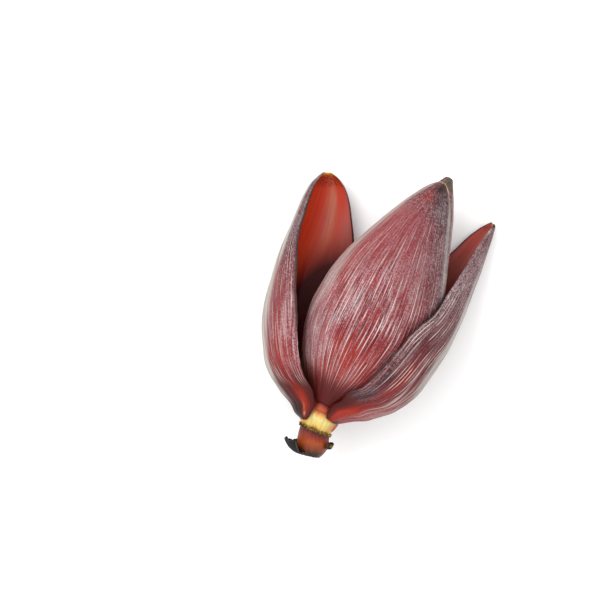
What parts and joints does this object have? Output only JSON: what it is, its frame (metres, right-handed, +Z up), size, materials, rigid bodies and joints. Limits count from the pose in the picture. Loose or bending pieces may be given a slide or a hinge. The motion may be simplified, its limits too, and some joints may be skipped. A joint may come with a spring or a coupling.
{
  "type": "banana blossom",
  "caption": "Cut banana blossom lying on its side: a closed pointed bud of ribbed bracts on a short scarred stem, with a bract opened like a boat on each side.",
  "frame": {"origin": "middle of the bounding box, on the surface that the blossom lies on", "axes": "+Y from the cut stem to the bud's tip, +Z up from the surface"},
  "size_m": [0.1603, 0.2522, 0.09],
  "materials": {
    "bract": "waxy, ribbed",
    "inner_bract": "waxy, ribbed",
    "floret": "satin",
    "stem": "satin",
    "scar": "rough",
    "torn_bract": "rough, dry"
  },
  "bodies": {
    "root": {"bud_front_bract": "bract", "closed_bud": "inner_bract", "left_open_bract": "bract", "right_open_bract": "bract", "left_floret_hand": "floret", "right_floret_hand": "floret", "stem": "stem", "floret_scars": "scar", "left_torn_base": "torn_bract", "right_torn_base": "torn_bract"}
  },
  "joints": []
}
